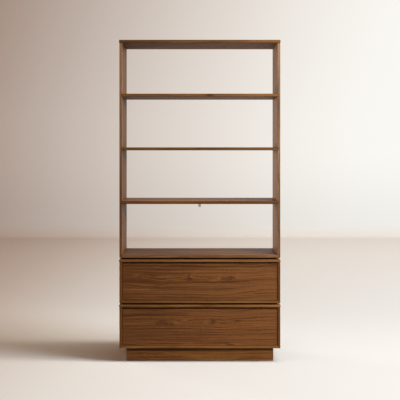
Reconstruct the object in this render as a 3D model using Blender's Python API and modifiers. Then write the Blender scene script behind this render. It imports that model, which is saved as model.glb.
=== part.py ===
"""Walnut bookcase in three stacked modules: four open bays over two wide drawers, on a recessed plinth.

Metres, +Z up, front towards -Y. The origin is on the floor, under the middle of the case.
"""

import math

import bmesh
import bpy
from mathutils import Matrix, Vector

# Case
CASE_WIDTH = 0.964
CASE_DEPTH = 0.394
SIDE_BOARD = 0.016
LID_OVERHANG = 0.002
LID_PROJECTION = 0.008
FIT = 0.0003
ARRIS = 0.001
LID_ARRIS = 0.0045
SHELF_ARRIS = 0.003

# Bookcase module
BAY_HEIGHT = 0.304
SHELF_COUNT = 3
SHELF_BOARD = 0.018
HOUSING_DEPTH = 0.006

# Drawer modules and the gaps between modules
MODULE_COUNT = 2
OPENING_HEIGHT = 0.231
MODULE_TOP = 0.016
MODULE_BOTTOM = 0.014
BACK_PANEL = 0.006
BACK_RABBET = 0.008
SHADOW_GAP = 0.010
GAP_RECESS = 0.020

# Stopped tongues on the side boards, under each lid
TONGUE_HEIGHT = 0.006
TONGUE_THICKNESS = 0.008
TONGUE_STOP = 0.015

# Drawers
FRONT_BOARD = 0.018
FRONT_RECESS = 0.004
FRONT_REVEAL = 0.0022
FRONT_LIFT = 0.0015
FINGER_GAP = 0.0085
FINGER_BEVEL = 0.009
BOX_BOARD = 0.012
BOX_BOTTOM = 0.006
BOX_BOTTOM_LIFT = 0.012
BOX_GROOVE = 0.006
BOX_CLEAR_BELOW = 0.016
BOX_CLEAR_ABOVE = 0.045
BOX_CLEAR_BEHIND = 0.011

# Dovetails at the corners of the drawer boxes
TAIL_COUNT = 4
TAIL_SHARE = 0.70
TAIL_SLOPE = 1 / 7

# Ball-bearing runners: cabinet, middle and drawer member, each a folded steel channel
RUNNER_THICKNESS = 0.0127
RUNNER_HEIGHT = 0.045
RUNNER_STEEL = 0.0012
RUNNER_SETBACK = 0.0025
RUNNER_RISE = 0.060
RUNNER_LIP = 0.0019
RUNNER_PLAY = 0.0005
CABINET_FLANGE = 0.0085

# Plinth
PLINTH_HEIGHT = 0.083
PLINTH_BOARD = 0.018
PLINTH_RECESS = 0.039
PLINTH_BACK_RECESS = 0.020
BLOCK_SIZE = 0.040
BLOCK_CHAMFER = 0.014
RAIL_LIFT = 0.020

# Bolts between modules, and screws
BOLT_RADIUS = 0.003
BOLT_HEAD_RADIUS = 0.007
BOLT_HEAD = 0.003
BOLT_BITE = 0.010
BOLT_INSET = 0.080
SCREW_RADIUS = 0.002
SCREW_HEAD_RADIUS = 0.004
SCREW_HEAD = 0.0025
SCREW_BITE = 0.011
FRONT_SCREW_SPREAD = 0.300
FRONT_SCREW_PITCH = 0.100
HOLE_BOTTOM = 0.001
TURNED_SIDES = 12

# Wall bracket under the lowest shelf
BRACKET_WIDTH = 0.015
BRACKET_LEG = 0.040
BRACKET_STEEL = 0.002
BRACKET_BEND = 0.003
BRACKET_SCREW_PITCH = 0.014
BRACKET_SCREW_OFFSET = 0.014
WALL_HOLE_RADIUS = 0.0028
WALL_HOLE_DROP = 0.028

# Places that follow from the sizes above
BACK_Y = (CASE_DEPTH + LID_PROJECTION) / 2
FRONT_Y = BACK_Y - CASE_DEPTH
LID_FRONT_Y = FRONT_Y - LID_PROJECTION
SIDE_OUTER = CASE_WIDTH / 2
SIDE_INNER = SIDE_OUTER - SIDE_BOARD
MODULE_HEIGHT = MODULE_BOTTOM + OPENING_HEIGHT + MODULE_TOP
BACK_PANEL_Y = BACK_Y - BACK_PANEL
BOX_DEPTH = BACK_PANEL_Y - BOX_CLEAR_BEHIND - (FRONT_Y + FRONT_RECESS + FRONT_BOARD)
RUNNER_LENGTH = BOX_DEPTH - 2 * RUNNER_SETBACK
BOX_HALF_WIDTH = SIDE_INNER - RUNNER_THICKNESS - 2 * FIT


def module_floor(level):
    """Height of the underside of a module, counted from the lower drawer module up."""
    return PLINTH_HEIGHT + level * (MODULE_HEIGHT + SHADOW_GAP)


def clear_scene():
    for old in list(bpy.data.objects):
        bpy.data.objects.remove(old)


def new_collection(name):
    made = bpy.data.collections.new(name)
    bpy.context.scene.collection.children.link(made)
    return made


def finish(name, colour, roughness, metallic=0.0):
    made = bpy.data.materials.new(name)
    made.use_nodes = True
    shader = made.node_tree.nodes["Principled BSDF"]
    shader.inputs["Base Color"].default_value = (*colour, 1.0)
    shader.inputs["Roughness"].default_value = roughness
    shader.inputs["Metallic"].default_value = metallic
    made.diffuse_color = (*colour, 1.0)
    return made


clear_scene()
PARTS = new_collection("bookcase")
CUTTERS = new_collection("cutters")

WALNUT = (0.16, 0.072, 0.028)
PALE_WOOD = (0.56, 0.41, 0.25)
BLACK_STAIN = (0.012, 0.010, 0.009)
ZINC = (0.55, 0.55, 0.56)
BLOCK_WOOD = (0.42, 0.30, 0.17)


def add_object(name, mesh, parent=None, collection=None, at=(0, 0, 0)):
    """An object at a world position, under its parent empty if it has one."""
    made = bpy.data.objects.new(name, mesh)
    (collection or PARTS).objects.link(made)
    made.location = Vector(at)
    if parent:
        made.parent = parent
        made.location -= parent.location
    return made


def add_node(name, mesh, colour, roughness, metallic=0.0, parent=None, at=(0, 0, 0)):
    """A visible piece with its own material."""
    if not mesh.materials:
        mesh.materials.append(finish(name, colour, roughness, metallic))
    return add_object(name, mesh, parent, at=at)


def box_bmesh(x, y, z):
    """A cube primitive brought to size, with its middle returned beside it."""
    low = Vector((x[0], y[0], z[0]))
    high = Vector((x[1], y[1], z[1]))
    bm = bmesh.new()
    bmesh.ops.create_cube(bm, size=1.0)
    bmesh.ops.scale(bm, vec=high - low, verts=bm.verts)
    return bm, (low + high) / 2


def mesh_from(bm, name):
    mesh = bpy.data.meshes.new(name)
    bm.to_mesh(mesh)
    bm.free()
    return mesh


def round_arrises(piece, width, segments=1):
    bevel = piece.modifiers.new("arris", "BEVEL")
    bevel.width = width
    bevel.segments = segments
    bevel.limit_method = "ANGLE"


def board(name, x, y, z, colour=WALNUT, roughness=0.42, parent=None, arris=ARRIS, segments=1):
    """A sawn board between two corners, with its arrises eased."""
    bm, middle = box_bmesh(x, y, z)
    piece = add_node(name, mesh_from(bm, name), colour, roughness, parent=parent, at=middle)
    round_arrises(piece, arris, segments)
    return piece


def hide_tool(tool):
    tool.hide_render = True
    tool.display_type = "WIRE"
    return tool


def tool_box(name, x, y, z, grow=0.0, parent=None):
    """A block that cuts or joins, grown on every side by a clearance."""
    bm, middle = box_bmesh(
        (x[0] - grow, x[1] + grow), (y[0] - grow, y[1] + grow), (z[0] - grow, z[1] + grow)
    )
    return hide_tool(add_object(name, mesh_from(bm, name), parent, CUTTERS, middle))


def boolean(piece, tool, operation):
    step = piece.modifiers.new(tool.name, "BOOLEAN")
    step.operation = operation
    step.solver = "EXACT"
    step.object = tool


def cut(piece, tool):
    boolean(piece, tool, "DIFFERENCE")


def join(piece, tool):
    boolean(piece, tool, "UNION")


def turn_to(direction):
    """Matrix that lays a shape standing along +Z along another direction."""
    return Vector((0, 0, 1)).rotation_difference(Vector(direction)).to_matrix().to_4x4()


def drill(name, places, direction, radius, start, end, parent=None):
    """Round holes at the given places, from start to end along the direction."""
    bm = bmesh.new()
    for place in places:
        middle = Matrix.Translation(Vector((0, 0, (start + end) / 2)))
        bmesh.ops.create_cone(
            bm, cap_ends=True, segments=TURNED_SIDES, radius1=radius, radius2=radius,
            depth=end - start, matrix=Matrix.Translation(Vector(place)) @ turn_to(direction) @ middle,
        )
    tool = add_object(name, mesh_from(bm, name), None, CUTTERS)
    if parent:
        tool.parent = parent
        tool.location = -parent.location
    return hide_tool(tool)


def turned(profile_name, profile):
    """Half-section of a turned piece, as an edge line of (radius, height) from its top down."""
    bm = bmesh.new()
    points = [bm.verts.new((radius, 0, height)) for radius, height in profile]
    for pair in zip(points, points[1:]):
        bm.edges.new(pair)
    return mesh_from(bm, profile_name)


def lathe(piece, direction, place, parent=None):
    """Turns a half-section about its own Z axis and points it along a direction."""
    spin = piece.modifiers.new("lathe", "SCREW")
    spin.steps = TURNED_SIDES
    spin.render_steps = TURNED_SIDES
    spin.use_merge_vertices = True
    spin.merge_threshold = 0.00001
    piece.rotation_euler = turn_to(direction).to_euler()
    piece.location = Vector(place) - (parent.location if parent else Vector())
    piece.parent = parent
    return piece


def fastener(name, profile, place, direction, parent=None):
    """A bolt or screw that is a piece of its own."""
    mesh = turned(name, profile)
    return lathe(add_node(name, mesh, ZINC, 0.35, 1.0), direction, place, parent)


def fused_fastener(name, profile, place, direction, carrier, parent=None):
    """A screw that is one solid with the board it is driven through."""
    tool = add_object(name, turned(name, profile), collection=CUTTERS)
    join(carrier, hide_tool(lathe(tool, direction, place, parent)))


def screw_profile(length, seat):
    """Pan head below the board's surface at zero height, shank above it, with a blunt point."""
    return (
        (0, length),
        (SCREW_RADIUS, length - SCREW_RADIUS),
        (SCREW_RADIUS, seat),
        (SCREW_HEAD_RADIUS, seat),
        (SCREW_HEAD_RADIUS, -SCREW_HEAD / 2),
        (SCREW_HEAD_RADIUS * 0.7, -SCREW_HEAD),
        (0, -SCREW_HEAD),
    )


def bolt_profile(length):
    """Flat round head below zero height, and a plain shank above it."""
    return (
        (0, length),
        (BOLT_RADIUS, length),
        (BOLT_RADIUS, -FIT),
        (BOLT_HEAD_RADIUS, -FIT),
        (BOLT_HEAD_RADIUS, -BOLT_HEAD),
        (0, -BOLT_HEAD),
    )


def sides_of_case():
    """Both sides of the case: a name, the sign of X, and the board between its two faces."""
    return (
        ("left", -1, (-SIDE_OUTER, -SIDE_INNER)),
        ("right", 1, (SIDE_INNER, SIDE_OUTER)),
    )


def toward(sign, near, far):
    """A span along X between two distances from the middle, on one side of it."""
    return (near, far) if sign > 0 else (-far, -near)


def tongue_place(sign, top):
    """The stopped tongue on a side board, reaching up into the lid."""
    middle = sign * (SIDE_OUTER + SIDE_INNER) / 2
    return (
        (middle - TONGUE_THICKNESS / 2, middle + TONGUE_THICKNESS / 2),
        (FRONT_Y + TONGUE_STOP, BACK_Y - TONGUE_STOP),
        (top - TONGUE_THICKNESS, top + TONGUE_HEIGHT),
    )


def case_side(name, sign, x, floor, top):
    """A side board with the tongue that locates the lid."""
    side = board(name, x, (FRONT_Y, BACK_Y), (floor, top - FIT))
    join(side, tool_box(name + "_tongue", *tongue_place(sign, top - FIT)))
    return side


def case_lid(name, floor, top):
    """A top board, slightly proud of the case, with a groove for each tongue."""
    half = SIDE_OUTER + LID_OVERHANG
    lid = board(name, (-half, half), (LID_FRONT_Y, BACK_Y), (floor, top), arris=LID_ARRIS, segments=3)
    for side, sign, _ in sides_of_case():
        cut(lid, tool_box(name + "_groove_" + side, *tongue_place(sign, floor - FIT), grow=FIT))
    return lid


# Bookcase module: two sides, a deck, three shelves in through housings, and the top panel
BOOKCASE_FLOOR = module_floor(MODULE_COUNT)
BAY_PITCH = BAY_HEIGHT + SHELF_BOARD
BOOKCASE_TOP = BOOKCASE_FLOOR + (SHELF_COUNT + 1) * BAY_PITCH + SHELF_BOARD


def shelf_floor(level):
    """Underside of a shelf, where level 0 is the deck."""
    return BOOKCASE_FLOOR + level * BAY_PITCH


def level_board(name, floor, thickness, back=BACK_Y, arris=ARRIS, segments=1):
    """A board across the case, let into a housing in both sides."""
    half = SIDE_INNER + HOUSING_DEPTH - FIT
    z = (floor, floor + thickness)
    return board(name, (-half, half), (FRONT_Y, back), z, arris=arris, segments=segments)


def shelf_board(name, level):
    """A level board of the open bays, its arrises rounded more than the rest."""
    return level_board(name, shelf_floor(level), SHELF_BOARD, arris=SHELF_ARRIS, segments=2)


def housing(name, sign, floor, thickness):
    """Cutter for the housing that takes the end of a level board, open at front and back."""
    reach = toward(sign, SIDE_INNER - HOUSING_DEPTH, SIDE_INNER + HOUSING_DEPTH - FIT)
    return tool_box(name, reach, (FRONT_Y - ARRIS, BACK_Y + ARRIS), (floor, floor + thickness), grow=FIT)


case_lid("top_panel", BOOKCASE_TOP - SHELF_BOARD, BOOKCASE_TOP)
for side_name, sign, x in sides_of_case():
    side = case_side("bookcase_side_" + side_name, sign, x, BOOKCASE_FLOOR, BOOKCASE_TOP - SHELF_BOARD)
    for level in range(SHELF_COUNT + 1):
        cut(side, housing(f"housing_{side_name}_{level}", sign, shelf_floor(level), SHELF_BOARD))
shelf_board("deck", 0)
SHELVES = [shelf_board(f"shelf_{level}", level) for level in range(1, SHELF_COUNT + 1)]


# Wall bracket: a bent steel angle under the lowest shelf, its upright leg flush with the back
def wall_bracket():
    top = shelf_floor(1) - FIT
    bm = bmesh.new()
    corner = [
        (BACK_Y - BRACKET_LEG, top), (BACK_Y, top), (BACK_Y, top - BRACKET_LEG),
    ]
    rows = [
        [bm.verts.new((x, y, z)) for y, z in corner]
        for x in (-BRACKET_WIDTH / 2, BRACKET_WIDTH / 2)
    ]
    for index in range(len(corner) - 1):
        bm.faces.new((rows[0][index], rows[0][index + 1], rows[1][index + 1], rows[1][index]))
    bend = [edge for edge in bm.edges if len(edge.link_faces) == 2]
    bmesh.ops.bevel(
        bm, geom=bend, offset=BRACKET_BEND, segments=4, profile=0.5, affect="EDGES"
    )
    bmesh.ops.recalc_face_normals(bm, faces=bm.faces)
    bracket = add_node("wall_bracket", mesh_from(bm, "wall_bracket"), ZINC, 0.4, 1.0)
    wall = bracket.modifiers.new("steel", "SOLIDIFY")
    wall.thickness = BRACKET_STEEL
    wall.offset = -1
    wall.use_even_offset = True
    places = [
        (0, BACK_Y - BRACKET_SCREW_OFFSET - step * BRACKET_SCREW_PITCH, top - BRACKET_STEEL)
        for step in range(2)
    ]
    bore = SCREW_RADIUS + FIT
    length = BRACKET_STEEL + SCREW_BITE
    drilled = drill(
        "bracket_screw_holes", places, (0, 0, 1), bore, -SCREW_HEAD, length + HOLE_BOTTOM
    )
    cut(bracket, drilled)
    cut(SHELVES[0], drilled)
    cut(bracket, drill(
        "bracket_wall_hole", [(0, BACK_Y, top - WALL_HOLE_DROP)], (0, -1, 0),
        WALL_HOLE_RADIUS, -BRACKET_STEEL, 2 * BRACKET_STEEL,
    ))
    for number, place in enumerate(places, 1):
        fastener(f"wall_bracket_screw_{number}", screw_profile(length, -FIT), place, (0, 0, 1))


wall_bracket()


# Drawer modules: a lid, two sides, a thin bottom board and a back panel in rabbets
MODULE_NAMES = ("lower", "upper")


def drawer_module(name, floor):
    lid_floor = floor + MODULE_BOTTOM + OPENING_HEIGHT
    case_lid(name + "_module_top", lid_floor, lid_floor + MODULE_TOP)
    panel_reach = SIDE_INNER + BACK_RABBET - FIT
    for side_name, sign, x in sides_of_case():
        piece = f"{name}_module_side_{side_name}"
        side = case_side(piece, sign, x, floor, lid_floor)
        cut(side, housing(piece + "_housing", sign, floor, MODULE_BOTTOM))
        cut(side, tool_box(
            piece + "_rabbet", toward(sign, SIDE_INNER - BACK_RABBET, panel_reach),
            (BACK_PANEL_Y, BACK_Y + ARRIS), (floor - ARRIS, lid_floor - FIT), grow=FIT,
        ))
    level_board(name + "_module_bottom", floor, MODULE_BOTTOM, BACK_PANEL_Y - FIT)
    board(
        name + "_module_back", (-panel_reach, panel_reach), (BACK_PANEL_Y, BACK_Y),
        (floor, lid_floor - FIT), arris=FIT,
    )


for module in range(MODULE_COUNT):
    drawer_module(MODULE_NAMES[module], module_floor(module))


# Recessed boards that hold the modules apart, stained black so that the gap reads as a shadow
def gap_board(name, floor):
    reach = SIDE_OUTER - GAP_RECESS
    board(
        name, (-reach, reach), (FRONT_Y + GAP_RECESS, BACK_Y - GAP_RECESS),
        (floor + FIT, floor + SHADOW_GAP - FIT), BLACK_STAIN, 0.7, arris=FIT,
    )


for module in range(MODULE_COUNT):
    gap_board(MODULE_NAMES[module] + "_gap_board", module_floor(module) + MODULE_HEIGHT)


# Bolts from inside each drawer module, up through its lid and the gap board into the board above
def module_bolts(name, lid_floor, lid, gap, above):
    x = SIDE_OUTER - BOLT_INSET
    places = [(sign * x, (FRONT_Y + BACK_Y) / 2, lid_floor) for sign in (-1, 1)]
    length = MODULE_TOP + SHADOW_GAP + BOLT_BITE
    holes = drill(
        name + "_holes", places, (0, 0, 1), BOLT_RADIUS + FIT, -BOLT_HEAD, length + HOLE_BOTTOM
    )
    for piece in (lid, gap, above):
        cut(bpy.data.objects[piece], holes)
    for side_name, place in zip(("left", "right"), places):
        fastener(f"{name}_{side_name}", bolt_profile(length), place, (0, 0, 1))


for module in range(MODULE_COUNT):
    name = MODULE_NAMES[module]
    above = "deck" if module == MODULE_COUNT - 1 else MODULE_NAMES[module + 1] + "_module_bottom"
    module_bolts(
        name + "_module_bolt", module_floor(module) + MODULE_BOTTOM + OPENING_HEIGHT,
        name + "_module_top", name + "_gap_board", above,
    )


# Plinth: four boards and a cross rail, glued up with chamfered corner blocks
def corner_block(name, x, y, z, inward):
    """A glue block whose free vertical edge is chamfered off."""
    bm, middle = box_bmesh(x, y, z)
    free = [
        edge for edge in bm.edges
        if all(vert.co.x * inward[0] > 0 and vert.co.y * inward[1] > 0 for vert in edge.verts)
    ]
    bmesh.ops.bevel(bm, geom=free, offset=BLOCK_CHAMFER, segments=1, affect="EDGES")
    return add_node(name, mesh_from(bm, name), BLOCK_WOOD, 0.7, at=middle)


def plinth():
    half = SIDE_OUTER - PLINTH_RECESS
    front = FRONT_Y + PLINTH_RECESS
    back = BACK_Y - PLINTH_BACK_RECESS
    top = PLINTH_HEIGHT - FIT
    board("plinth_front", (-half, half), (front, front + PLINTH_BOARD), (0, top))
    board("plinth_back", (-half, half), (back - PLINTH_BOARD, back), (0, top))
    between = (front + PLINTH_BOARD + FIT, back - PLINTH_BOARD - FIT)
    rail_half = PLINTH_BOARD / 2
    board("plinth_cross_rail", (-rail_half, rail_half), between, (RAIL_LIFT, top))
    inner = half - PLINTH_BOARD - FIT
    for side_name, sign, _ in sides_of_case():
        board("plinth_side_" + side_name, toward(sign, half - PLINTH_BOARD, half), between, (0, top))
        x = toward(sign, inner - BLOCK_SIZE, inner)
        for end_name, end_y, inward in (("front", between[0], 1), ("back", between[1], -1)):
            y = sorted((end_y, end_y + inward * BLOCK_SIZE))
            name = f"plinth_block_{end_name}_{side_name}"
            corner_block(name, x, y, (top - BLOCK_SIZE, top), (-sign, inward))


plinth()


# Drawers: a front screwed to a dovetailed box that hangs between two ball-bearing runners
def slide_empty(name, at):
    """The empty that carries a moving group, on the axis of its joint."""
    empty = bpy.data.objects.new(name, None)
    PARTS.objects.link(empty)
    empty.location = at
    return empty


def drawer_front(name, floor, parent):
    """The visible front, with the back of its top edge bevelled to make a finger pull."""
    half = SIDE_INNER - FRONT_REVEAL
    x = (-half, half)
    y = (FRONT_Y + FRONT_RECESS, FRONT_Y + FRONT_RECESS + FRONT_BOARD)
    z = (floor + FRONT_LIFT, floor + OPENING_HEIGHT - FINGER_GAP)
    bm, middle = box_bmesh(x, y, z)
    pull = [edge for edge in bm.edges if all(vert.co.y > 0 and vert.co.z > 0 for vert in edge.verts)]
    bmesh.ops.bevel(bm, geom=pull, offset=FINGER_BEVEL, segments=1, affect="EDGES")
    front = add_node(name + "_drawer_front", mesh_from(bm, name + "_drawer_front"), WALNUT, 0.42,
                     parent=parent, at=middle)
    round_arrises(front, ARRIS)
    return front


def flared_row(name, x, root, tip, centres, half_root, half_tip, parent):
    """A row of dovetail shapes along Z, each a cube whose far end is widened."""
    bm = bmesh.new()
    for centre in centres:
        made = bmesh.ops.create_cube(bm, size=1.0)["verts"]
        for vert in made:
            at_tip = vert.co.y > 0
            half = half_tip if at_tip else half_root
            vert.co = Vector((
                x[0] if vert.co.x < 0 else x[1],
                tip if at_tip else root,
                centre + math.copysign(half, vert.co.z),
            ))
    if tip < root:
        bmesh.ops.reverse_faces(bm, faces=bm.faces)
    tool = add_object(name, mesh_from(bm, name), None, CUTTERS)
    tool.parent = parent
    tool.location = -parent.location
    return hide_tool(tool)


def dovetail_corner(name, sign, outward, end_y, z, side, end_board, parent):
    """Through dovetails: tails cut on the drawer side, and sockets for them in the end board."""
    pitch = (z[1] - z[0]) / TAIL_COUNT
    tip_half = pitch * TAIL_SHARE / 2
    overrun = BOX_BOARD / 4
    spread = overrun * TAIL_SLOPE
    root_half = tip_half - BOX_BOARD * TAIL_SLOPE
    x = toward(sign, BOX_HALF_WIDTH - BOX_BOARD - FIT, BOX_HALF_WIDTH + overrun)
    root = end_y - outward * BOX_BOARD
    tip = end_y + outward * overrun
    tails = [z[0] + pitch * (index + 0.5) for index in range(TAIL_COUNT)]
    pins = [z[0] + pitch * index for index in range(TAIL_COUNT + 1)]
    cut(end_board, flared_row(
        name + "_sockets", x, root - outward * overrun, tip, tails,
        root_half - spread + FIT, tip_half + spread + FIT, parent,
    ))
    cut(side, flared_row(
        name + "_pins", toward(sign, BOX_HALF_WIDTH - BOX_BOARD - overrun, BOX_HALF_WIDTH + overrun),
        root - outward * FIT, tip, pins,
        pitch / 2 - root_half, pitch / 2 - tip_half - spread, parent,
    ))


def drawer_box(name, floor, parent):
    front_y = FRONT_Y + FRONT_RECESS + FRONT_BOARD + FIT
    y = (front_y, front_y + BOX_DEPTH)
    z = (floor + BOX_CLEAR_BELOW, floor + OPENING_HEIGHT - BOX_CLEAR_ABOVE)
    half = BOX_HALF_WIDTH
    pale = {"colour": PALE_WOOD, "roughness": 0.5, "parent": parent, "arris": FIT}
    ends = {
        "front": (board(name + "_box_front", (-half, half), (y[0], y[0] + BOX_BOARD), z, **pale), y[0], -1),
        "back": (board(name + "_box_back", (-half, half), (y[1] - BOX_BOARD, y[1]), z, **pale), y[1], 1),
    }
    walls = [piece for piece, _, _ in ends.values()]
    for side_name, sign, _ in sides_of_case():
        side = board(f"{name}_box_side_{side_name}", toward(sign, half - BOX_BOARD, half), y, z, **pale)
        walls.append(side)
        for end_name, (end_board, end_y, outward) in ends.items():
            corner = f"{name}_dovetail_{end_name}_{side_name}"
            dovetail_corner(corner, sign, outward, end_y, z, side, end_board, parent)
    reach = half - BOX_BOARD + BOX_GROOVE
    panel = (
        (-reach, reach), (y[0] + BOX_BOARD - BOX_GROOVE, y[1] - BOX_BOARD + BOX_GROOVE),
        (z[0] + BOX_BOTTOM_LIFT, z[0] + BOX_BOTTOM_LIFT + BOX_BOTTOM),
    )
    board(name + "_box_bottom", *panel, **pale)
    groove = tool_box(name + "_bottom_groove", *panel, grow=FIT, parent=parent)
    for wall in walls:
        cut(wall, groove)
    return walls[0], y, z


def front_screws(name, front, box_front, y, z, parent):
    """Screws from inside the box into the back of the front."""
    middle = (z[0] + z[1]) / 2
    places = [
        (sx * FRONT_SCREW_SPREAD, y[0] + BOX_BOARD, middle + sz * FRONT_SCREW_PITCH / 2)
        for sx in (-1, 1) for sz in (-1, 1)
    ]
    length = BOX_BOARD + FIT + SCREW_BITE
    cut(front, drill(
        name + "_front_screw_holes", places, (0, -1, 0), SCREW_RADIUS + FIT,
        BOX_BOARD, length + HOLE_BOTTOM, parent,
    ))
    for number, place in enumerate(places, 1):
        tool = f"{name}_front_screw_{number}"
        fused_fastener(tool, screw_profile(length, FIT), place, (0, -1, 0), box_front, parent)


# Runner members nest inside each other; sizes run from the case side towards the drawer
FLANGE_HALF = RUNNER_HEIGHT / 2
MIDDLE_WEB = RUNNER_STEEL + RUNNER_PLAY
MIDDLE_HALF = FLANGE_HALF - RUNNER_LIP - RUNNER_PLAY
DRAWER_LIP = MIDDLE_WEB + RUNNER_STEEL + RUNNER_PLAY
DRAWER_HALF = MIDDLE_HALF - RUNNER_LIP - RUNNER_PLAY
MIDDLE_FLANGE = RUNNER_THICKNESS - RUNNER_STEEL - RUNNER_PLAY


def channel(name, section, sign, at, parent=None):
    """A folded channel: an open strip of (depth, height) run along Y, given its steel thickness."""
    bm = bmesh.new()
    rows = [
        [bm.verts.new((depth, y, height)) for depth, height in section]
        for y in (-RUNNER_LENGTH / 2, RUNNER_LENGTH / 2)
    ]
    for index in range(len(section) - 1):
        bm.faces.new((rows[0][index], rows[1][index], rows[1][index + 1], rows[0][index + 1]))
    piece = add_node(name, mesh_from(bm, name), ZINC, 0.3, 1.0, parent, at)
    if sign > 0:
        piece.rotation_euler.z = math.pi
    wall = piece.modifiers.new("steel", "SOLIDIFY")
    wall.thickness = RUNNER_STEEL
    wall.offset = -1
    wall.use_even_offset = True
    return piece


def lipped_section(web, flange, half, lip):
    """A C section that opens away from its web, with lips turned inwards."""
    return (
        (flange, half - lip), (flange, half), (web, half),
        (web, -half), (flange, -half), (flange, -half + lip),
    )


def runners(name, floor, y, drawer, slider):
    middle_y = (y[0] + y[1]) / 2
    z = floor + BOX_CLEAR_BELOW + RUNNER_RISE
    for side_name, sign, _ in sides_of_case():
        at = (sign * (SIDE_INNER - FIT), middle_y, z)
        cabinet = lipped_section(0, CABINET_FLANGE, FLANGE_HALF, RUNNER_LIP)
        middle = lipped_section(MIDDLE_WEB, MIDDLE_FLANGE, MIDDLE_HALF, RUNNER_LIP)
        inner = (
            (DRAWER_LIP, -DRAWER_HALF), (RUNNER_THICKNESS, -DRAWER_HALF),
            (RUNNER_THICKNESS, DRAWER_HALF), (DRAWER_LIP, DRAWER_HALF),
        )
        channel(f"{name}_runner_cabinet_{side_name}", cabinet, sign, at)
        channel(f"{name}_runner_middle_{side_name}", middle, sign, at, slider)
        channel(f"{name}_runner_drawer_{side_name}", inner, sign, at, drawer)


def drawer(name, module_bottom):
    floor = module_bottom + MODULE_BOTTOM
    axis_at = (0, FRONT_Y + FRONT_RECESS, floor + OPENING_HEIGHT / 2)
    moving = slide_empty(name + "_drawer_slide", axis_at)
    slider = slide_empty(name + "_runner_slide", axis_at)
    front = drawer_front(name, floor, moving)
    box_front, y, z = drawer_box(name, floor, moving)
    front_screws(name, front, box_front, y, z, moving)
    runners(name, floor, y, moving, slider)


for module in range(MODULE_COUNT):
    drawer(MODULE_NAMES[module], module_floor(module))
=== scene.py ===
"""A walnut bookcase on two drawer modules and a plinth, dressed in the order in which it is put together."""

import math

import bpy
from mathutils import Matrix, Vector


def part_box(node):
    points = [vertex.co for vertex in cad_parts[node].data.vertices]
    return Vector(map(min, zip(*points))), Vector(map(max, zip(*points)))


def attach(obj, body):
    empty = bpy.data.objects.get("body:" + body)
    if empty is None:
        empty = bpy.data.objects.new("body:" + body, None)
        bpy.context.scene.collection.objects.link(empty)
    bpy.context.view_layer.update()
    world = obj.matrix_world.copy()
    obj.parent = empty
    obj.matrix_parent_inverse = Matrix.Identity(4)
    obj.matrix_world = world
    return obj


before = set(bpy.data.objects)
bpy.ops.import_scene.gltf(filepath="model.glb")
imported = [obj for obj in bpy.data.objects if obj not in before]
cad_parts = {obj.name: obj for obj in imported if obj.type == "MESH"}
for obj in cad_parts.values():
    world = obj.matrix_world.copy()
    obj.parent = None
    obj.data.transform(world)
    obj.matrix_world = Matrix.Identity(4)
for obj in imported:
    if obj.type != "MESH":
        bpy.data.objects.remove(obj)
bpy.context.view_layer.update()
scene = bpy.context.scene
scene.view_settings.view_transform = "Standard"

# The view: a level camera with a long lens, a little left of the middle and at chest height.
# Its lens is shifted down instead of the camera being tilted, which keeps the uprights upright.
CAMERA_PLACE = (-0.017, -6.094, 1.29)
LENS = 88.65
LENS_SHIFT = (0.0075, -0.132875)

camera_data = bpy.data.cameras.new("view camera")
camera_data.lens = LENS
camera_data.shift_x, camera_data.shift_y = LENS_SHIFT
camera = bpy.data.objects.new("view camera", camera_data)
camera.location = CAMERA_PLACE
camera.rotation_euler = (math.radians(90), 0, 0)
scene.collection.objects.link(camera)
scene.camera = camera


# The room: a pale floor that turns up into a wall far behind, like paper hung in a studio. It is a
# plane whose far edge is drawn up and the fold rounded. Its colour is painted darker and warmer to the
# left and in the fold as painted shade, and brighter far off as painted light. The wall glows for the
# camera and reflections alone, a painted light whose tone is painted darker to the upper left and at its
# foot, and the paper bounces little.
ROOM_SIZE = 60.0
FLOOR_Z = -0.0005
WALL_Y = 8.3
WALL_HEIGHT = 18.0
FOLD_RADIUS = 0.5
FOLD_STEPS = 12
PICKED_WITHIN = 0.01
BLACK = (0, 0, 0, 1)

# The painted tones, and the stretch in metres over which each one turns into the next.
PAPER_LEFT_PAINTED_SHADE = (0.492, 0.379, 0.304, 1)
PAPER_RIGHT = (0.80, 0.82, 0.825, 1)
PAPER_FADE = (-3.2, -0.2)
PAPER_BOUNCE = 0.22
FAR_LEFT_PAINTED_LIGHT = (0.84, 0.69, 0.62, 1)
FAR_RIGHT_PAINTED_LIGHT = (1.43, 1.43, 1.41, 1)
FAR_FADE = (-4.2, 1.0)
FADE_SLANT = -0.08
DISTANCE = (1.0, 9.0)
FOLD_PAINTED_SHADE = (0.90, 0.93, 0.94, 1)
FOLD_SHADE_HEIGHT = (0.0, 0.08)
FLOOR_TO_WALL = (0.0, 0.20)
WALL_LEFT_PAINTED_SHADE = (0.287, 0.173, 0.118, 1)
WALL_RIGHT_PAINTED_LIGHT = (0.955, 0.940, 0.900, 1)
WALL_FADE = (-5.5, 2.9)
WALL_DARKEST = -3.7
WALL_SLANT = -0.36
SLANT_FROM = 1.7
WALL_PAINTED_WARM_LIGHT = (1.0, 0.975, 0.950, 1)
WARM_PEAK = 27 / 4
FOOT_HEIGHT = 1.3
FOOT_SHADE = 0.90


def put(tree, kind, inputs=(), **settings):
    """Adds a shader node, and sets or links the input sockets that are given by name or number."""
    made = tree.nodes.new(kind)
    for key, value in settings.items():
        setattr(made, key, value)
    for key, value in dict(inputs).items():
        if isinstance(value, bpy.types.NodeSocket):
            tree.links.new(value, made.inputs[key])
        else:
            made.inputs[key].default_value = value
    return made


def calc(tree, operation, a, b=0.0, c=0.0):
    return put(tree, "ShaderNodeMath", {0: a, 1: b, 2: c}, operation=operation).outputs[0]


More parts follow.
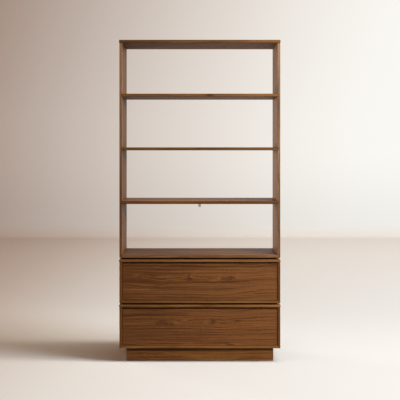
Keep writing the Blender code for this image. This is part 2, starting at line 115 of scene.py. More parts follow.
def ramp(tree, value, low, high, start=0.0, end=1.0):
    """Eases from start to end while the value goes from low to high."""
    return put(tree, "ShaderNodeMapRange", {
        "Value": value, "From Min": low, "From Max": high, "To Min": start, "To Max": end,
    }, interpolation_type="SMOOTHSTEP").outputs["Result"]


def mix(tree, share, a, b, blend="MIX"):
    return put(tree, "ShaderNodeMix", {0: share, 6: a, 7: b}, data_type="RGBA", blend_type=blend).outputs[2]


def new_material(name):
    """A named material, with its node tree and its Principled shader."""
    made = bpy.data.materials.new(name)
    made.use_nodes = True
    return made, made.node_tree, made.node_tree.nodes["Principled BSDF"]


def select_only(piece):
    bpy.ops.object.select_all(action="DESELECT")
    bpy.context.view_layer.objects.active = piece
    piece.select_set(True)


def edit(piece, kind, wanted):
    """Opens a piece in edit mode with only the parts selected that pass a test."""
    select_only(piece)
    bpy.ops.object.mode_set(mode="EDIT")
    bpy.ops.mesh.select_mode(type=kind)
    bpy.ops.mesh.select_all(action="DESELECT")
    bpy.ops.object.mode_set(mode="OBJECT")
    mesh = piece.data
    for part in {"EDGE": mesh.edges, "FACE": mesh.polygons}[kind]:
        part.select = wanted(part)
    bpy.ops.object.mode_set(mode="EDIT")


def settle(piece):
    """Leaves edit mode and puts the piece's place into its mesh."""
    if bpy.context.mode != "OBJECT":
        bpy.ops.object.mode_set(mode="OBJECT")
    select_only(piece)
    bpy.ops.object.transform_apply(location=True, rotation=True, scale=True)
    return piece


def both_ends(piece, wanted):
    """A test for an edge, from a test for the place of each of its ends."""
    return lambda edge: all(wanted(piece.data.vertices[index].co) for index in edge.vertices)


bpy.ops.object.select_all(action="DESELECT")
bpy.ops.mesh.primitive_plane_add(size=ROOM_SIZE, location=(0, WALL_Y - ROOM_SIZE / 2, FLOOR_Z))
room = settle(bpy.context.active_object)
room.name = "studio_sweep"
edit(room, "EDGE", both_ends(room, lambda co: co.y > WALL_Y - PICKED_WITHIN))
bpy.ops.mesh.extrude_region_move(TRANSFORM_OT_translate={"value": (0, 0, WALL_HEIGHT)})
settle(room)
edit(room, "EDGE", both_ends(room, lambda co: co.y > WALL_Y - PICKED_WITHIN and co.z < PICKED_WITHIN))
bpy.ops.mesh.bevel(offset=FOLD_RADIUS, segments=FOLD_STEPS, affect="EDGES")
settle(room)
for face in room.data.polygons:
    face.use_smooth = True

paper, tree, shader = new_material("studio paper")
place = put(tree, "ShaderNodeSeparateXYZ", {0: put(tree, "ShaderNodeTexCoord").outputs["Object"]}).outputs
rays = put(tree, "ShaderNodeLightPath").outputs
seen = calc(tree, "MAXIMUM", rays["Is Camera Ray"], rays["Is Glossy Ray"])
upper = ramp(tree, place[2], *FLOOR_TO_WALL)
beside = calc(tree, "MULTIPLY_ADD", place[1], FADE_SLANT, place[0])
# Painted shade and light in the floor's colour: darker to the left, brighter far off, darker in the fold.
near = mix(tree, ramp(tree, beside, *PAPER_FADE), PAPER_LEFT_PAINTED_SHADE, PAPER_RIGHT)
far = mix(tree, ramp(tree, beside, *FAR_FADE), FAR_LEFT_PAINTED_LIGHT, FAR_RIGHT_PAINTED_LIGHT)
floor = mix(tree, ramp(tree, place[1], *DISTANCE), near, far)
floor = mix(tree, ramp(tree, place[2], *FOLD_SHADE_HEIGHT), floor, FOLD_PAINTED_SHADE, "MULTIPLY")
keep = calc(tree, "MULTIPLY_ADD", seen, calc(tree, "SUBTRACT", 1.0 - PAPER_BOUNCE, upper), PAPER_BOUNCE)
tree.links.new(mix(tree, keep, BLACK, floor), shader.inputs["Base Color"])
# Painted light in the wall's glow: darker to the upper left, warmer between, and shaded at its foot.
high = calc(tree, "MAXIMUM", calc(tree, "SUBTRACT", place[2], SLANT_FROM), 0.0)
across = calc(tree, "MAXIMUM", calc(tree, "MULTIPLY_ADD", high, WALL_SLANT, place[0]), WALL_DARKEST)
across = ramp(tree, across, *WALL_FADE)
between = calc(tree, "MULTIPLY", calc(tree, "POWER", across, 2.0), calc(tree, "SUBTRACT", 1.0, across))
between = calc(tree, "MULTIPLY", between, WARM_PEAK)
painted_wall_light = mix(tree, between, mix(tree, across, WALL_LEFT_PAINTED_SHADE, WALL_RIGHT_PAINTED_LIGHT), WALL_PAINTED_WARM_LIGHT, "MULTIPLY")
tree.links.new(painted_wall_light, shader.inputs["Emission Color"])
foot = ramp(tree, place[2], 0.0, FOOT_HEIGHT, FOOT_SHADE, 1.0)
painted_wall_glow = calc(tree, "MULTIPLY", calc(tree, "MULTIPLY", seen, upper), foot)
tree.links.new(painted_wall_glow, shader.inputs["Emission Strength"])
shader.inputs["Roughness"].default_value = 0.9
shader.inputs["Specular IOR Level"].default_value = 0.0
room.data.materials.append(paper)


# The light: two soft lamps at the right light the wood alone. Three light the paper alone and draw
# the shadow: a far one, a nearer one, and a long one overhead that gives it a firm back edge. A warm
# one throws no shadow, a small one behind lights wood and paper, and a dim world fills in.
AIM = (0, 0, 0.8)
WORLD_FILL = 0.18
MORE_IN_GLOSS = 0.09
MORE_IN_VIEW = 0.73
WORLD_WARM = (1.0, 0.74, 0.50, 1)
WORLD_PALE = (1.0, 0.975, 0.94, 1)


def softbox(name, place, aim, size, power, colour, spread=180):
    """A lamp at one point, turned to face another. A spread under 180 degrees is a grid on it."""
    data = bpy.data.lights.new(name, "AREA")
    data.shape = "RECTANGLE"
    data.size, data.size_y = size
    data.spread = math.radians(spread)
    data.energy = power
    data.color = colour
    lamp = bpy.data.objects.new(name, data)
    lamp.location = place
    lamp.rotation_euler = (Vector(aim) - Vector(place)).to_track_quat("-Z", "Y").to_euler()
    scene.collection.objects.link(lamp)
    return lamp


def link_to_paper(lamp, state, shadow=True):
    """Lets a lamp light the paper alone, or all but the paper. With no shadow, the wood doesn't block it."""
    chosen = bpy.data.collections.new(lamp.name + " and the paper")
    chosen.objects.link(room)
    chosen.collection_objects[0].light_linking.link_state = state
    lamp.light_linking.receiver_collection = chosen
    if not shadow:
        lamp.light_linking.blocker_collection = chosen


for state, name, place, aim, size, power, colour in (
    ("EXCLUDE", "side lamp", (11.0, -0.8, 7.0), AIM, (6.0, 6.0), 2450, (1.0, 0.98, 0.95)),
    ("EXCLUDE", "front lamp", (3.5, -4.0, 2.3), AIM, (0.8, 0.8), 315, (1.0, 0.97, 0.92)),
    ("INCLUDE", "far lamp", (23.0, -5.2, 13.5), AIM, (13.0, 13.0), 2790, (1.0, 0.79, 0.70)),
    ("INCLUDE", "near lamp", (6.0, -2.4, 6.5), AIM, (4.0, 4.0), 510, (0.81, 0.92, 1.0)),
    ("INCLUDE", "high lamp", (1.6, -0.55, 8.0), (1.6, -0.55, 0), (4.0, 0.5), 231, (1.0, 0.956, 0.814)),
):
    link_to_paper(softbox(name, place, aim, size, power, colour), state)
warm_lamp = softbox("warm lamp", (-3.0, -0.5, 6.0), (-3.0, -0.5, 0), (4.0, 4.0), 35, (1.0, 0.26, 0.0))
link_to_paper(warm_lamp, "INCLUDE", shadow=False)
softbox("back lamp", (-3.6, 3.0, 1.35), (0.45, 0, 1.25), (1.0, 1.0), 10, (1.0, 0.86, 0.70), spread=45)

world = bpy.data.worlds.new("soft room light")
world.use_nodes = True
tree = world.node_tree
sky = tree.nodes["Background"]
rays = put(tree, "ShaderNodeLightPath").outputs
seen = calc(tree, "MAXIMUM", rays["Is Camera Ray"], rays["Is Glossy Ray"])
tree.links.new(mix(tree, seen, WORLD_WARM, WORLD_PALE), sky.inputs["Color"])
level = calc(tree, "MULTIPLY_ADD", rays["Is Glossy Ray"], MORE_IN_GLOSS, WORLD_FILL)
level = calc(tree, "MULTIPLY_ADD", rays["Is Camera Ray"], MORE_IN_VIEW, level)
tree.links.new(level, sky.inputs["Strength"])
scene.world = world


# The plinth: four upright walnut boards that stand back under the case, with a spruce rail
# across the middle and a spruce block glued into each corner. Each board is cut from its own
# place in the log, so its rings, streaks and pores run through it as solid wood.
X, Y, Z = Vector((1, 0, 0)), Vector((0, 1, 0)), Vector((0, 0, 1))
HEARTWOOD = ((0.205, 0.082, 0.019, 1), (0.082, 0.028, 0.0065, 1))
SPRUCE = ((0.66, 0.47, 0.27, 1), (0.47, 0.29, 0.14, 1))
SPRUCE_RING = 0.003
SATIN = 0.14
MATTE = 0.48
MATTE_IN_DARK = 0.08
RELIEF = 0.25
RELIEF_DEPTH = 0.0003
STREAK_RELIEF = 0.2
MIDDLE_TONE = 0.42
LATE_WOOD = 0.26
LATE_SHARPNESS = 3.0
PORE_EDGE = (0.60, 0.70)
PORE_SHADE = 0.7
RIPPLE_SIZE = 0.007
FULL_SWING = 4.0

# The noises drawn out along the grain: waves for each metre along it, across it, detail, roughness.
WANDER = (1 / 0.30, 3.0, 1.0)
RIPPLE = (9.0, 32.0, 2.0)
STREAK = (2.6, 170.0, 4.0, 0.70)
VESSEL = (60.0, 1100.0, 1.0)

# The noises that follow the rings: waves for each metre along the grain, and bands for each ring.
SEASON_WAVES = 0.7
BAND_WAVES = 1.3
BANDS_FOR_RING = 0.22


def add_sockets(group, way, kind, names):
    for name in names:
        group.interface.new_socket(name=name, in_out=way, socket_type=kind)


def noise(tree, x, y, z, detail=2.0, roughness=0.5):
    """Noise read at three coordinates, each stretched on its own."""
    at = put(tree, "ShaderNodeCombineXYZ", {0: x, 1: y, 2: z}).outputs[0]
    return put(tree, "ShaderNodeTexNoise", {
        "Vector": at, "Scale": 1.0, "Detail": detail, "Roughness": roughness,
    }).outputs


def timber_group():
    """Sawn timber, for a place in the log: metres along the grain, then two ways out from the heart."""
    group = bpy.data.node_groups.new("sawn timber", "ShaderNodeTree")
    add_sockets(group, "INPUT", "NodeSocketVector", ["Grain"])
    add_sockets(group, "INPUT", "NodeSocketColor", ["Light Wood", "Dark Wood"])
    add_sockets(group, "INPUT", "NodeSocketFloat", [
        "Swell", "Ring Width", "Wander", "Rings", "Bands", "Streaks", "Pores", "Marks", "Middle", "Painted Shade Slope",
        "Matte",
    ])
    add_sockets(group, "OUTPUT", "NodeSocketColor", ["Color"])
    add_sockets(group, "OUTPUT", "NodeSocketFloat", ["Roughness", "Height"])
    given = group.nodes.new("NodeGroupInput").outputs
    leaving = group.nodes.new("NodeGroupOutput").inputs
    along, wide, deep = put(group, "ShaderNodeSeparateXYZ", {0: given["Grain"]}).outputs

    def times(a, b):
        return calc(group, "MULTIPLY", a, b)

    def grained(length, width, *fineness):
        """Noise drawn out along the grain."""
        return noise(group, times(along, length), times(wide, width), times(deep, width), *fineness)

    def swing(value, size, base):
        """Adds a noise to a base, both ways from the noise's middle."""
        return calc(group, "MULTIPLY_ADD", calc(group, "SUBTRACT", value, 0.5), size, base)

    drift = put(group, "ShaderNodeSeparateColor", {0: grained(*WANDER)["Color"]}).outputs
    bend = times(given["Wander"], FULL_SWING)
    out = {1: swing(drift[0], bend, wide), 2: swing(drift[1], bend, deep)}
    out = put(group, "ShaderNodeCombineXYZ", out).outputs[0]
    radius = put(group, "ShaderNodeVectorMath", {0: out}, operation="LENGTH").outputs["Value"]
    radius = swing(grained(*RIPPLE)["Fac"], RIPPLE_SIZE, radius)
    rings = calc(group, "DIVIDE", calc(group, "ADD", radius, given["Swell"]), given["Ring Width"])

    season = noise(group, rings, times(along, SEASON_WAVES), 0.0, 3.0, 0.62)["Fac"]
    late = calc(group, "POWER", calc(group, "FRACT", rings), LATE_SHARPNESS)
    band = noise(group, times(rings, BANDS_FOR_RING), times(along, BAND_WAVES), 4.0, 1.0)["Fac"]
    streak = grained(*STREAK)["Fac"]
    tone = swing(season, given["Rings"], MIDDLE_TONE)
    tone = calc(group, "MULTIPLY_ADD", late, LATE_WOOD, tone)
    tone = swing(band, given["Bands"], tone)
    tone = swing(streak, given["Streaks"], tone)
    # Painted shade: the tone is painted darker toward one end of the grain and lighter toward the other.
    lean = times(calc(group, "SUBTRACT", given["Middle"], along), given["Painted Shade Slope"])
    tone = calc(group, "ADD", calc(group, "ADD", tone, lean), given["Marks"])
    share = ramp(group, tone, 0.0, 1.0)

    pore = times(ramp(group, grained(*VESSEL)["Fac"], *PORE_EDGE), given["Pores"])
    colour = mix(group, share, given["Light Wood"], given["Dark Wood"])
    colour = mix(group, times(pore, PORE_SHADE), colour, given["Dark Wood"], "MULTIPLY")
    group.links.new(colour, leaving["Color"])
    group.links.new(calc(group, "MULTIPLY_ADD", share, MATTE_IN_DARK, given["Matte"]), leaving["Roughness"])
    height = calc(group, "MULTIPLY_ADD", streak, STREAK_RELIEF, times(pore, -1.0))
    group.links.new(height, leaving["Height"])
    return group


TIMBER = timber_group()


def from_heart(tree, node, along, across, heart, slide):
    """Turns Object coordinates into a place in the log whose heart lies beside a board's middle."""
    low, high = (Vector(corner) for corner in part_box(node))
    turn = Matrix((along, across, along.cross(across)))
    middle = turn @ ((low + high) / 2)
    return put(tree, "ShaderNodeMapping", {
        "Vector": put(tree, "ShaderNodeTexCoord").outputs["Object"], "Rotation": turn.to_euler(),
        "Location": (slide - middle.x, heart[0] - middle.y, heart[1] - middle.z),
    }).outputs["Vector"]


def cut_wood(tree, grain, tones, slide, ring=0.010, wander=0.006, rings=2.0, bands=0.8, streaks=2.6,
             pores=0.5, swell=0.0, marks=0.0, lean=0.0, matte=MATTE):
    """Cuts a board whose middle lies at slide metres up the log. Its tone is painted darker toward one end,
    as painted shade, by the slope given.
    """
    return put(tree, "ShaderNodeGroup", {
        "Grain": grain, "Light Wood": tones[0], "Dark Wood": tones[1], "Ring Width": ring,
        "Wander": wander, "Rings": rings, "Bands": bands, "Streaks": streaks, "Pores": pores,
        "Swell": swell, "Marks": marks, "Middle": slide, "Painted Shade Slope": lean, "Matte": matte,
    }, node_tree=TIMBER).outputs


def finish_wood(tree, shader, wood, colour, gloss=SATIN):
    """Joins cut wood to the shader, under a thin lacquer."""
    tree.links.new(colour, shader.inputs["Base Color"])
    tree.links.new(wood["Roughness"], shader.inputs["Roughness"])
    bump = put(tree, "ShaderNodeBump", {
        "Height": wood["Height"], "Strength": RELIEF, "Distance": RELIEF_DEPTH,
    })
    tree.links.new(bump.outputs["Normal"], shader.inputs["Normal"])
    shader.inputs["Specular IOR Level"].default_value = gloss


def wood_material(node):
    return new_material(node.replace("_", " ") + " wood")


def dress(node, material):
    """Gives a solid of the frame its finish."""
    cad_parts[node].data.materials.clear()
    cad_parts[node].data.materials.append(material)


def painted_lit_or_shaded(tones, share):
    """The same wood painted darker or lighter, as painted shade or light for how much light a board gets."""
    return [(*(part * share for part in tone[:3]), 1) for tone in tones]


def board(node, along, across, heart, slide, tones, **cut):
    """Dresses one board in timber of its own."""
    made, tree, shader = wood_material(node)
    wood = cut_wood(tree, from_heart(tree, node, along, across, heart, slide), tones, slide, **cut)
    finish_wood(tree, shader, wood, wood["Color"])
    dress(node, made)


# The front board is painted a shade lighter, and darker toward its left end, as painted light and shade.
board("plinth_front", X, Z, (0.010, 0.030), 0.4, painted_lit_or_shaded(HEARTWOOD, 1.08), ring=0.009, lean=0.35)
board("plinth_back", X, Z, (-0.020, 0.060), 2.1, HEARTWOOD)
board("plinth_side_left", Y, Z, (0.030, 0.050), 3.3, HEARTWOOD)
board("plinth_side_right", Y, Z, (-0.010, 0.045), 4.7, HEARTWOOD)
board("plinth_cross_rail", Y, Z, (0.050, 0.080), 0.9, SPRUCE, ring=SPRUCE_RING, pores=0.0)
for index, corner in enumerate(("front_left", "front_right", "back_left", "back_right")):
    board("plinth_block_" + corner, Z, X, (0.02, 0.06), index * 1.7, SPRUCE, ring=SPRUCE_RING, pores=0.0)


# The two drawer modules: each is a bottom board between two sides, a back panel let into
# rabbets, and a thick top board with rounded edges that stands proud at the front and the ends.
# The front edges are lipped with a strip of redder wood, 5 mm deep.
MODULES = ("lower", "upper")
SIDES = ("left", "right")
LIPPING = ((0.240, 0.106, 0.032, 1), (0.100, 0.035, 0.007, 1))
# The module sides' lipping is painted darker than the rest, painted shade low down.
CASE_LIP_PAINTED_SHADE = ((0.145, 0.050, 0.008, 1), (0.058, 0.017, 0.002, 1))
PANEL = ((0.20, 0.095, 0.042, 1), (0.105, 0.043, 0.017, 1))
LIPPING_DEPTH = 0.005
LIPPING_HEART = (0.05, 0.04)
LIPPING_SLIDE = 5.0
GLUE = (0.03, 0.012, 0.005, 1)
GLUE_SHARE = 0.6
GLUE_HALF = 0.00015


def spot_group():
    """How much of one spot there is at a place. A spot is longer along the grain than across it."""
    group = bpy.data.node_groups.new("spot in the grain", "ShaderNodeTree")
    add_sockets(group, "INPUT", "NodeSocketVector", ["Place", "Middle"])
    add_sockets(group, "INPUT", "NodeSocketFloat", ["Length", "Height", "Strength"])
    add_sockets(group, "OUTPUT", "NodeSocketFloat", ["Amount"])
    given = group.nodes.new("NodeGroupInput").outputs
    leaving = group.nodes.new("NodeGroupOutput").inputs
    away = put(group, "ShaderNodeVectorMath", {0: given["Place"], 1: given["Middle"]}, operation="SUBTRACT")
    x, _, z = put(group, "ShaderNodeSeparateXYZ", {0: away.outputs[0]}).outputs
    x = calc(group, "POWER", calc(group, "DIVIDE", x, given["Length"]), 2.0)
    z = calc(group, "POWER", calc(group, "DIVIDE", z, given["Height"]), 2.0)
    near = calc(group, "EXPONENT", calc(group, "MULTIPLY", calc(group, "ADD", x, z), -1.0))
    group.links.new(calc(group, "MULTIPLY", near, given["Strength"]), leaving["Amount"])
    return group


SPOT = spot_group()


def add_spots(tree, place, spots):
    """The sum of spots, each given by its x, its z, its length, its height and its strength."""
    total = 0.0
    for x, z, length, height, strength in spots:
        one = put(tree, "ShaderNodeGroup", {
            "Place": place, "Middle": (x, 0, z), "Length": length, "Height": height, "Strength": strength,
        }, node_tree=SPOT).outputs["Amount"]
        total = calc(tree, "ADD", total, one)
    return total


def lipped(node, along, across, heart, slide, tones=HEARTWOOD, lip=LIPPING, lip_lean=0.3, spots=(),
           gloss=SATIN, **cut):
    """Dresses a board with a strip of other wood glued to its front edge, satin whatever the board's gloss.

    A spot in the strip is a dark knot, or a paler stretch where its strength is below zero.
    """
    made, tree, shader = wood_material(node)
    field = cut_wood(tree, from_heart(tree, node, along, across, heart, slide), tones, slide, **cut)
    place = put(tree, "ShaderNodeTexCoord").outputs["Object"]
    strip_slide = slide + LIPPING_SLIDE
    strip = cut_wood(
        tree, from_heart(tree, node, along, across, LIPPING_HEART, strip_slide), lip, strip_slide,
        ring=0.007, wander=0.004, streaks=2.0, marks=add_spots(tree, place, spots), lean=lip_lean,
    )
    depth = put(tree, "ShaderNodeSeparateXYZ", {0: place}).outputs["Y"]
    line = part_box(node)[0][1] + LIPPING_DEPTH
    behind = calc(tree, "GREATER_THAN", depth, line)
    glue = calc(tree, "COMPARE", depth, line, GLUE_HALF)
    colour = mix(tree, behind, strip["Color"], field["Color"])
    colour = mix(tree, calc(tree, "MULTIPLY", glue, GLUE_SHARE), colour, GLUE)
    finish_wood(tree, shader, field, colour, gloss)
    if gloss != SATIN:
        sheen = calc(tree, "MULTIPLY_ADD", behind, gloss - SATIN, SATIN)
        tree.links.new(sheen, shader.inputs["Specular IOR Level"])
    dress(node, made)


for index, module in enumerate(MODULES):
    slide = 1.3 + 2.7 * index
    # The bottom boards' lipping is painted a shade darker, painted shade.
    lipped(module + "_module_bottom", X, Y, (0.02, 0.07), slide, lip=painted_lit_or_shaded(LIPPING, 0.84))
    lipped(module + "_module_side_left", Z, Y, (0.03, 0.06), slide + 0.4, lip=CASE_LIP_PAINTED_SHADE)
    lipped(module + "_module_side_right", Z, Y, (-0.04, 0.05), slide + 0.9, lip=CASE_LIP_PAINTED_SHADE)
    board(module + "_module_back", X, Z, (0.01, 0.05), slide + 1.1, PANEL, ring=0.016)
    lipped(module + "_module_top", X, Y, (0.04, 0.05), slide + 1.8)


# The gap boards: a recessed board, stained black, carries each module above the one below.
# Two zinc-plated bolts through it hold the modules together.
STAIN = ((0.016, 0.007, 0.003, 1), (0.007, 0.003, 0.0012, 1))
ZINC = (0.60, 0.61, 0.63, 1)
ZINC_DULL = (0.38, 0.39, 0.41, 1)
ZINC_SCRATCH = (0.75, 0.75, 0.76, 1)
ZINC_CLOUDS = 90.0
ZINC_SCRATCHES = (2600.0, 14.0, 2600.0)
ZINC_MATTE = (0.28, 0.45)


def plating_group():
    """Zinc plating: cloudy tone, a dull grain, and fine scratches along the run of the metal."""
    group = bpy.data.node_groups.new("zinc plating", "ShaderNodeTree")
    add_sockets(group, "INPUT", "NodeSocketFloat", ["Scratches"])
    add_sockets(group, "OUTPUT", "NodeSocketColor", ["Color"])
    add_sockets(group, "OUTPUT", "NodeSocketFloat", ["Roughness", "Height"])
    given = group.nodes.new("NodeGroupInput").outputs
    leaving = group.nodes.new("NodeGroupOutput").inputs
    at = put(group, "ShaderNodeTexCoord").outputs["Object"]
    axes = put(group, "ShaderNodeSeparateXYZ", {0: at}).outputs
    cloud = put(group, "ShaderNodeTexNoise", {"Vector": at, "Scale": ZINC_CLOUDS, "Detail": 3.0})
    cloud = cloud.outputs["Fac"]
    run = [calc(group, "MULTIPLY", axis, scale) for axis, scale in zip(axes, ZINC_SCRATCHES)]
    scratch = ramp(group, noise(group, *run, 1.0)["Fac"], 0.58, 0.72)
    scratch = calc(group, "MULTIPLY", scratch, given["Scratches"])
    worn = calc(group, "MULTIPLY", scratch, 0.5)
    tone = mix(group, ramp(group, cloud, 0.35, 0.68), ZINC, ZINC_DULL)
    group.links.new(mix(group, worn, tone, ZINC_SCRATCH), leaving["Color"])
    group.links.new(ramp(group, cloud, 0.3, 0.7, *ZINC_MATTE), leaving["Roughness"])
    group.links.new(scratch, leaving["Height"])
    return group


PLATING = plating_group()


def plated(name, scratches):
    made, tree, shader = new_material(name)
    skin = put(tree, "ShaderNodeGroup", {"Scratches": scratches}, node_tree=PLATING).outputs
    bump = put(tree, "ShaderNodeBump", {"Height": skin["Height"], "Strength": 0.1, "Distance": 0.0001})
    tree.links.new(skin["Color"], shader.inputs["Base Color"])
    tree.links.new(skin["Roughness"], shader.inputs["Roughness"])
    tree.links.new(bump.outputs["Normal"], shader.inputs["Normal"])
    shader.inputs["Metallic"].default_value = 1.0
    return made


fastener_zinc = plated("fastener zinc", 0.2)
for module in MODULES:
    board(module + "_gap_board", X, Y, (0.03, 0.06), 6.0, STAIN, pores=0.8)
    for side in SIDES:
        dress(f"{module}_module_bolt_{side}", fastener_zinc)


# The drawer runners: three zinc-plated steel channels that slide in each other, on each side
# of each drawer. The cabinet channel is screwed to the module and the drawer channel to the box.
runner_zinc = plated("runner zinc", 1.0)
for module in MODULES:
    for member in ("cabinet", "middle", "drawer"):
        for side in SIDES:
            dress(f"{module}_runner_{member}_{side}", runner_zinc)


# The runner screws: three zinc-plated pan heads hold each drawer channel to the side of its box.
# Each head is domed, with a cross recess pressed into it, and is seen when the drawer is open.
RUNNER_SHEET = 0.0012
RUNNER_HEAD = (0.0034, 0.0021, 0.0007)
RUNNER_SCREWS = (-0.130, -0.020, 0.120)
HEAD_SIDES = 32
HEAD_ROUNDING = 0.42
RECESS_ARMS = ((1.15, 0.26), (0.26, 1.15))
RECESS_TAPER = 0.7


def pan_head(name, radius, height, recess):
    """The head of a screw, lying on its seat at the origin and facing up."""
    bpy.ops.object.select_all(action="DESELECT")
    bpy.ops.mesh.primitive_cylinder_add(
        vertices=HEAD_SIDES, radius=radius, depth=height, location=(0, 0, height / 2))
    head = settle(bpy.context.active_object)
    head.name = name
    edit(head, "EDGE", both_ends(head, lambda co: co.z > height * 0.99))
    bpy.ops.mesh.bevel(offset=height * HEAD_ROUNDING, segments=4, affect="EDGES")
    settle(head)
    arms = []
    for length, width in RECESS_ARMS:
        bpy.ops.object.select_all(action="DESELECT")
        bpy.ops.mesh.primitive_cube_add(
            size=1, location=(0, 0, height), scale=(length * radius, width * radius, 2 * recess))
        arm = settle(bpy.context.active_object)
        edit(arm, "FACE", lambda face: face.normal.z < -0.9)
        bpy.ops.transform.resize(
            value=(RECESS_TAPER, RECESS_TAPER, 1), center_override=(0, 0, height - recess))
        arms.append(settle(arm))
    for arm in arms:
        cut = head.modifiers.new("recess", "BOOLEAN")
        cut.object = arm
        cut.operation = "DIFFERENCE"
        cut.solver = "EXACT"
        select_only(head)
        bpy.ops.object.modifier_apply(modifier=cut.name)
        bpy.data.objects.remove(arm)
    select_only(head)
    bpy.ops.object.shade_smooth_by_angle(angle=math.radians(35))
    head.data.materials.append(fastener_zinc)
    return head


def drive(pattern, name, place, turn, body):
    """Puts a copy of a screw head on its seat, turned to face out of it."""
    select_only(pattern)
    bpy.ops.object.duplicate()
    head = bpy.context.active_object
    head.name = name
    head.location = place
    head.rotation_euler = [math.radians(angle) for angle in turn]
    settle(head)
    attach(head, body)


pattern = pan_head("runner_screw", *RUNNER_HEAD)
for module in MODULES:
    for side, sign in zip(SIDES, (-1, 1)):
        low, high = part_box(f"{module}_runner_drawer_{side}")
        web = low[0] + RUNNER_SHEET if sign > 0 else high[0] - RUNNER_SHEET
        for index, y in enumerate(RUNNER_SCREWS, 1):
            drive(
                pattern, f"{module}_runner_screw_{side}_{index}", (web, y, (low[2] + high[2]) / 2),
                (0, 90 * sign, 17 * index), module + "_drawer",
            )
bpy.data.objects.remove(pattern)


# The drawer boxes: solid maple, dovetailed at the corners, with a birch bottom let into grooves.
# A box hangs between its two runners, and its front board is screwed to the drawer front.
MAPLE = ((0.70, 0.52, 0.33, 1), (0.52, 0.35, 0.19, 1))
BIRCH = ((0.74, 0.58, 0.40, 1), (0.60, 0.42, 0.25, 1))

for index, module in enumerate(MODULES):
    slide = 2.2 + 3.1 * index
    for part, along, heart, further in (
        ("front", X, (0.10, 0.06), 0.0), ("back", X, (-0.08, 0.07), 0.7),
        ("side_left", Y, (0.09, 0.06), 1.2), ("side_right", Y, (-0.07, 0.05), 1.9),
    ):
        board(f"{module}_box_{part}", along, Z, heart, slide + further, MAPLE, ring=0.006, pores=0.15)
    board(module + "_box_bottom", X, Y, (0.05, 0.10), slide + 2.3, BIRCH, ring=0.020, pores=0.1)


# The front screws: four to a drawer, driven from inside the box through its front board and into
# the drawer front. Their heads are larger than those of the runner screws.
FRONT_HEAD = (0.0044, 0.0036, 0.0009)
SCREW_STANDS = 0.0025
FRONT_SCREWS = ((-0.300, -0.050), (0.300, -0.050), (-0.300, 0.050), (0.300, 0.050))

pattern = pan_head("front_screw", *FRONT_HEAD)
for module in MODULES:
    low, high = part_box(module + "_box_front")
    for index, (x, z) in enumerate(FRONT_SCREWS, 1):
        place = (x, high[1] - SCREW_STANDS, (low[2] + high[2]) / 2 + z)
        drive(pattern, f"{module}_front_screw_{index}", place, (-90, 23 * index, 0), module + "_drawer")
bpy.data.objects.remove(pattern)


# The drawer fronts: figured walnut with the grain running across. Small eyes lie in a row above the
# middle, where the rings swell or shrink round pin knots, and the lines part and close round them.
# The marks are dark knots and, where their strength is below zero, pale spots and thin pale lines.
FIGURED = ((0.194, 0.076, 0.022, 1), (0.070, 0.022, 0.0048, 1))
WARP = (16.0, 45.0)
WARP_MIDDLE = (0.5, 0.5, 0.5)
WARP_SIZE = (0.08, 0, 0.03)
EYES = {
    "upper": (
        (-0.375, 0.516, 0.030, 0.018, 0.018), (-0.239, 0.480, 0.045, 0.020, -0.006),
        (-0.059, 0.508, 0.038, 0.018, 0.020), (0.079, 0.490, 0.026, 0.012, -0.012),
        (0.133, 0.514, 0.030, 0.014, 0.018), (0.193, 0.505, 0.028, 0.013, 0.015),
        (0.460, 0.430, 0.220, 0.090, 0.026), (-0.460, 0.470, 0.120, 0.080, 0.010),
    ),
    "lower": (
        (-0.203, 0.232, 0.040, 0.016, 0.018), (-0.095, 0.244, 0.038, 0.018, -0.016),
        (0.067, 0.244, 0.034, 0.016, 0.020), (0.223, 0.244, 0.040, 0.016, 0.016),
        (0.169, 0.112, 0.050, 0.018, 0.014), (0.440, 0.250, 0.180, 0.070, 0.020),
        (-0.440, 0.120, 0.140, 0.050, 0.014),
    ),
}
MARKS = {
    "upper": (
        (-0.388, 0.520, 0.020, 0.011, -0.36), (-0.285, 0.512, 0.022, 0.010, 0.26),
        (-0.191, 0.510, 0.040, 0.012, -0.12), (-0.065, 0.516, 0.012, 0.010, 0.40),
        (-0.039, 0.516, 0.010, 0.018, -0.34), (-0.263, 0.456, 0.013, 0.008, 0.35),
        (0.109, 0.498, 0.010, 0.012, -0.36), (0.129, 0.522, 0.010, 0.010, -0.30),
        (0.189, 0.507, 0.024, 0.010, 0.50), (0.236, 0.516, 0.012, 0.018, -0.34),
        (0.110, 0.470, 0.200, 0.010, -0.12), (0.330, 0.415, 0.130, 0.006, 0.25),
        (0.330, 0.560, 0.120, 0.0035, -0.40), (-0.370, 0.436, 0.100, 0.0035, -0.40),
    ),
    "lower": (
        (-0.227, 0.243, 0.034, 0.012, 0.35), (-0.167, 0.224, 0.012, 0.008, 0.40),
        (-0.134, 0.240, 0.014, 0.014, -0.28), (0.037, 0.240, 0.010, 0.014, -0.28),
        (0.075, 0.243, 0.014, 0.014, 0.40), (0.110, 0.240, 0.012, 0.012, -0.25),
        (0.223, 0.246, 0.024, 0.008, 0.45), (0.166, 0.112, 0.024, 0.008, 0.45),
        (-0.071, 0.110, 0.024, 0.010, -0.32), (0.217, 0.108, 0.020, 0.008, -0.28),
        (0.175, 0.153, 0.160, 0.004, -0.42), (0.330, 0.270, 0.090, 0.006, 0.28),
    ),
}


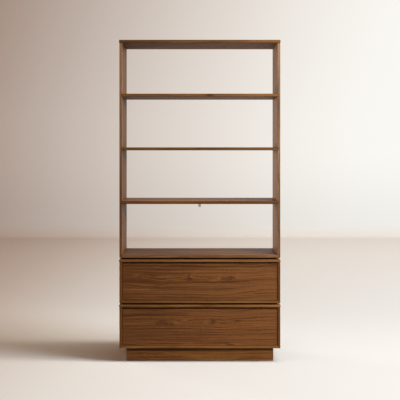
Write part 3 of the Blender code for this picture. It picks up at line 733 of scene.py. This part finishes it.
def drawer_front(module, heart, slide):
    """Dresses a drawer front. A slow warp draws its eyes and marks out of true."""
    node = module + "_drawer_front"
    made, tree, shader = wood_material(node)
    place = put(tree, "ShaderNodeTexCoord").outputs["Object"]
    x, y, z = put(tree, "ShaderNodeSeparateXYZ", {0: place}).outputs
    warp = noise(tree, calc(tree, "MULTIPLY", x, WARP[0]), y, calc(tree, "MULTIPLY", z, WARP[1]))["Color"]
    warp = put(tree, "ShaderNodeVectorMath", {0: warp, 1: WARP_MIDDLE}, operation="SUBTRACT").outputs[0]
    place = put(tree, "ShaderNodeVectorMath", {0: warp, 1: WARP_SIZE, 2: place}, operation="MULTIPLY_ADD")
    place = place.outputs[0]
    # The tone is painted darker toward the left end, painted shade.
    wood = cut_wood(
        tree, from_heart(tree, node, X, Z, heart, slide), FIGURED, slide, ring=0.006, rings=2.7,
        bands=0.35, streaks=2.0, pores=1.0, swell=add_spots(tree, place, EYES[module]),
        marks=add_spots(tree, place, MARKS[module]), lean=0.5,
    )
    finish_wood(tree, shader, wood, wood["Color"])
    dress(node, made)


drawer_front("lower", (-0.130, 0.05), 4.4)
drawer_front("upper", (-0.125, 0.06), 1.9)


# The bookcase: two tall sides, a deck and three shelves let into housings in them, and a top
# panel with rounded edges. All of it is walnut, and the front edges are lipped as those of the modules
# are. Each board and lip is painted lighter or darker for the light that falls on it, painted light
# and shade; the greyer lips of the sides and the deck carry a painted sheen, the right side's lip is
# painted lighter, and the lowest shelf's lip is painted darker.
LEFT_LIP_PAINTED_SHEEN = ((0.235, 0.120, 0.060, 1), (0.084, 0.034, 0.012, 1))
RIGHT_LIP_PAINTED_LIGHT_AND_SHEEN = ((0.350, 0.205, 0.115, 1), (0.120, 0.048, 0.014, 1))
SHELF_LIP_PAINTED_SHADE = ((0.170, 0.065, 0.013, 1), (0.072, 0.021, 0.002, 1))
DECK_LIP_PAINTED_SHEEN = ((0.230, 0.106, 0.047, 1), (0.098, 0.034, 0.007, 1))

lipped("deck", X, Y, (0.03, 0.06), 7.2, painted_lit_or_shaded(HEARTWOOD, 1.4), DECK_LIP_PAINTED_SHEEN, gloss=0.20, lean=0.6)
lipped(
    "bookcase_side_left", Z, Y, (0.05, 0.06), 3.1, painted_lit_or_shaded(HEARTWOOD, 0.92), LEFT_LIP_PAINTED_SHEEN, lip_lean=0.6,
    spots=((-0.474, 1.41, 0.05, 0.16, -0.15),), gloss=0.18, matte=0.53,
)
lipped(
    "bookcase_side_right", Z, Y, (-0.06, 0.06), 5.3, painted_lit_or_shaded(HEARTWOOD, 1.5), RIGHT_LIP_PAINTED_LIGHT_AND_SHEEN,
    lip_lean=0.6, gloss=0.25, matte=0.42,
)
lipped(
    "shelf_1", X, Y, (0.08, 0.05), 2.6, painted_lit_or_shaded(HEARTWOOD, 2.05), SHELF_LIP_PAINTED_SHADE, gloss=0.20, matte=0.42,
)
lipped("shelf_2", X, Y, (-0.05, 0.06), 4.1, lip=painted_lit_or_shaded(LIPPING, 0.66))
lipped("shelf_3", X, Y, (0.02, 0.05), 8.4, spots=((0.059, 1.601, 0.018, 0.008, 1.3),))
lipped(
    "top_panel", X, Y, (-0.03, 0.06), 0.6, painted_lit_or_shaded(HEARTWOOD, 1.65), painted_lit_or_shaded(LIPPING, 0.88), lip_lean=0.7,
    gloss=0.20, lean=0.6, matte=0.58,
)


# The wall fixing: a bent steel angle under the lowest shelf, at the middle of its back edge,
# held up by two screws. Its upright leg has a hole for the screw into the wall.
dress("wall_bracket", plated("bracket zinc", 0.3))
for index in (1, 2):
    dress(f"wall_bracket_screw_{index}", fastener_zinc)
